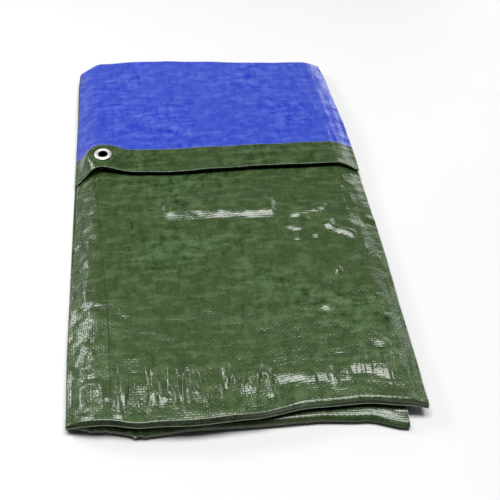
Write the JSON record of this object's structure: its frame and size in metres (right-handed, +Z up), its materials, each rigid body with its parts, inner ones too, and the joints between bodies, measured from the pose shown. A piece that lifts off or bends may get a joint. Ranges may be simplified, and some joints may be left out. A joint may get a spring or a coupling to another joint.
{
  "type": "folded tarp",
  "caption": "Woven tarpaulin, green on one face and blue on the other, folded flat into an oblong pack with a short hemmed flap and a corner eyelet.",
  "frame": {"origin": "on the surface the pack lies on, under the middle of its outline", "axes": "+Y along the pack's length, away from its two front folds; +X across it; +Z up, away from the surface"},
  "size_m": [0.4028, 0.7294, 0.0395],
  "materials": {
    "woven_sheet": "woven polyethylene tape laminated with a glossy film, green on one face and blue on the other",
    "eyelet_metal": "bright pressed aluminium"
  },
  "bodies": {
    "root": {"tarp": "woven_sheet", "end_hem": "woven_sheet", "corner_eyelet": "eyelet_metal"}
  },
  "joints": []
}
